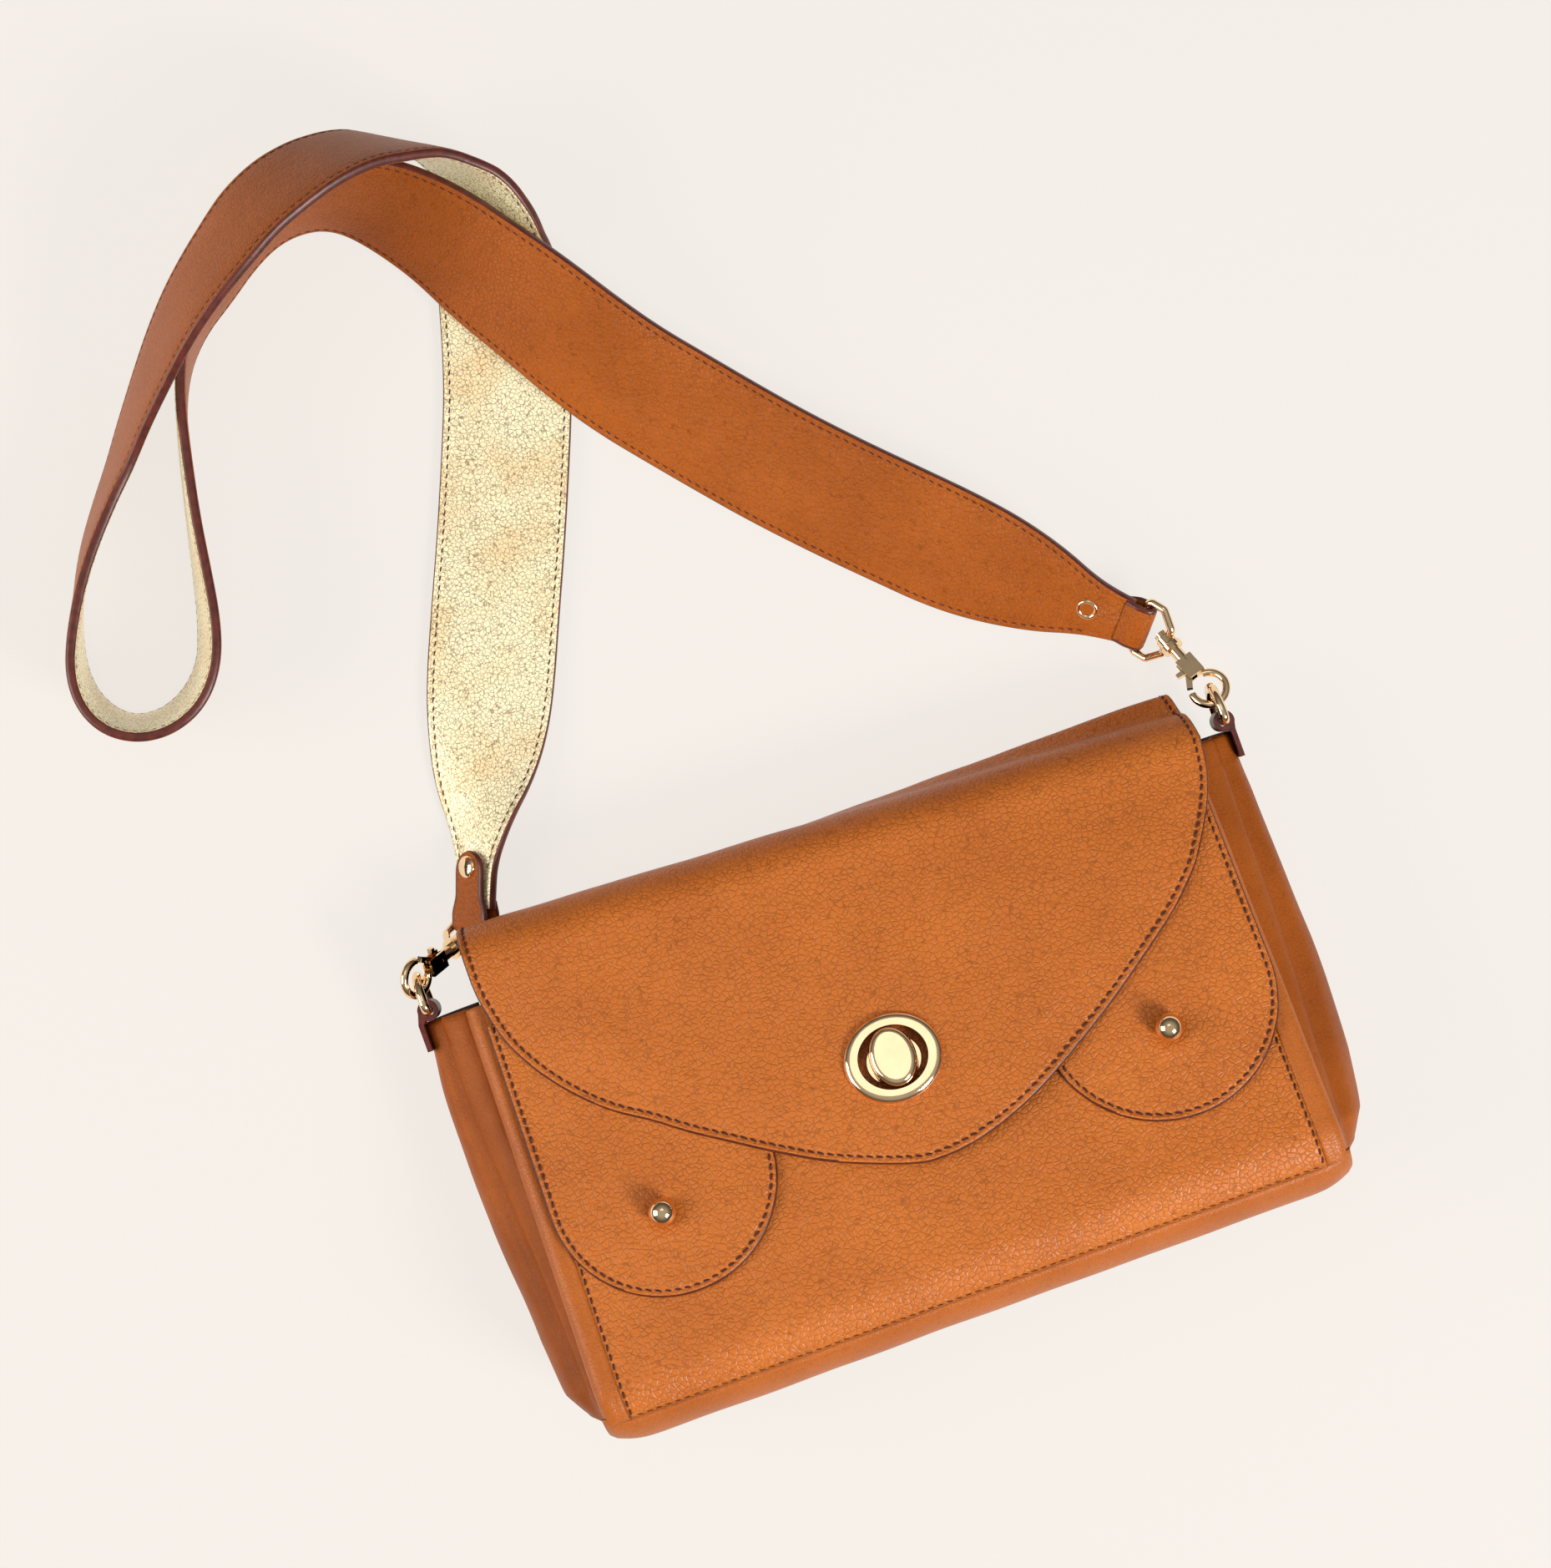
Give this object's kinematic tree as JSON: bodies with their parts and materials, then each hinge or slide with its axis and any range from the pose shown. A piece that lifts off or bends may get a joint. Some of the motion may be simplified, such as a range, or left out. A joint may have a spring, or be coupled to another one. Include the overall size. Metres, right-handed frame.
{
  "type": "sling_bag",
  "caption": "Small tan leather flap bag with a turn lock, petal side tabs, snap hooks and a wide tapered shoulder strap, lying on its back",
  "frame": {"origin": "middle of the back panel's outer face, on the surface the bag lies on", "axes": "+X to the right as the front is seen, +Y towards the bag's top edge, +Z out of the back panel to the front"},
  "size_m": [0.333, 0.4026, 0.0705],
  "materials": {
    "tan_leather": "satin",
    "gold_foil_leather": "satin",
    "lining_fabric": "matte",
    "base_board": "matte",
    "gold_metal": "polished"
  },
  "bodies": {
    "bag": {"front_panel": "tan_leather", "side_strip_left": "tan_leather", "side_strip_right": "tan_leather", "bottom_panel": "tan_leather", "back_panel": "tan_leather", "body_lining": "lining_fabric", "base_board": "base_board", "gusset_left": "tan_leather", "gusset_right": "tan_leather", "flap_root": "tan_leather", "petal_root_left": "tan_leather", "petal_root_right": "tan_leather", "ball_studs": "gold_metal", "stud_screws": "gold_metal", "lock_base": "gold_metal", "lock_backing": "gold_metal", "dring_tab_left": "tan_leather", "dring_tab_right": "tan_leather", "hook_ring_left": "gold_metal", "hook_ring_right": "gold_metal", "strap_leather": "tan_leather", "strap_lining": "gold_foil_leather", "strap_loop_left": "tan_leather", "strap_loop_right": "tan_leather", "strap_rivets": "gold_metal"},
    "flap": {"flap_leather": "tan_leather", "flap_lining": "lining_fabric", "lock_eyelet_plate": "gold_metal", "lock_eyelet_back": "gold_metal"},
    "petal_left": {"petal_left": "tan_leather", "petal_lining_left": "lining_fabric"},
    "petal_right": {"petal_right": "tan_leather", "petal_lining_right": "lining_fabric"},
    "lock_knob": {"lock_knob": "gold_metal"},
    "dring_left": {"dring_left": "gold_metal"},
    "dring_right": {"dring_right": "gold_metal"},
    "hook_left": {"hook_body_left": "gold_metal", "trigger_pin_left": "gold_metal"},
    "hook_right": {"hook_body_right": "gold_metal", "trigger_pin_right": "gold_metal"},
    "trigger_left": {"hook_trigger_left": "gold_metal"},
    "trigger_right": {"hook_trigger_right": "gold_metal"}
  },
  "joints": [
    {"name": "flap_hinge", "type": "hinge", "parent": "bag", "child": "flap", "pos_m": [0, 0.084, 0.02], "axis": [-1, 0, 0], "range_deg": [0, 100]},
    {"name": "petal_left_bend", "type": "hinge", "parent": "bag", "child": "petal_left", "pos_m": [-0.079, 0.01165, 0.05409], "axis": [-0.7331, 0.6626, -0.1533], "range_deg": [0, 85]},
    {"name": "petal_right_bend", "type": "hinge", "parent": "bag", "child": "petal_right", "pos_m": [0.079, 0.01165, 0.05409], "axis": [-0.7331, -0.6626, 0.1533], "range_deg": [0, 85]},
    {"name": "lock_turn", "type": "hinge", "parent": "bag", "child": "lock_knob", "pos_m": [0, 0.01115, 0.05708], "axis": [0, 0.2254, 0.9743], "range_deg": [0, 90]},
    {"name": "dring_left_turn", "type": "hinge", "parent": "bag", "child": "dring_left", "pos_m": [-0.1276, 0.0705, 0.024], "axis": [0, 0, 1], "range_deg": [-1.5, 4]},
    {"name": "dring_right_turn", "type": "hinge", "parent": "bag", "child": "dring_right", "pos_m": [0.1294, 0.0705, 0.024], "axis": [0, 0, 1], "range_deg": [-10, 10]},
    {"name": "hook_left_swivel", "type": "hinge", "parent": "bag", "child": "hook_left", "pos_m": [-0.11354, 0.08615, 0.01411], "axis": [-0.683, -0.255, 0.6844], "range_deg": [-10, 15]},
    {"name": "hook_right_swivel", "type": "hinge", "parent": "bag", "child": "hook_right", "pos_m": [0.12315, 0.09898, 0.01341], "axis": [0.3046, -0.8659, 0.3967], "range_deg": [-15, 15]},
    {"name": "trigger_left_press", "type": "hinge", "parent": "hook_left", "child": "trigger_left", "pos_m": [-0.12161, 0.08436, 0.0229], "axis": [0.7257, -0.3427, 0.5966], "range_deg": [0, 25], "stiffness_Nm_per_rad": 0.01, "springref_deg": -11.46},
    {"name": "trigger_right_press", "type": "hinge", "parent": "hook_right", "child": "trigger_right", "pos_m": [0.12545, 0.08823, 0.01825], "axis": [-0.049, 0.4017, 0.9145], "range_deg": [0, 25], "stiffness_Nm_per_rad": 0.01, "springref_deg": -11.46}
  ]
}
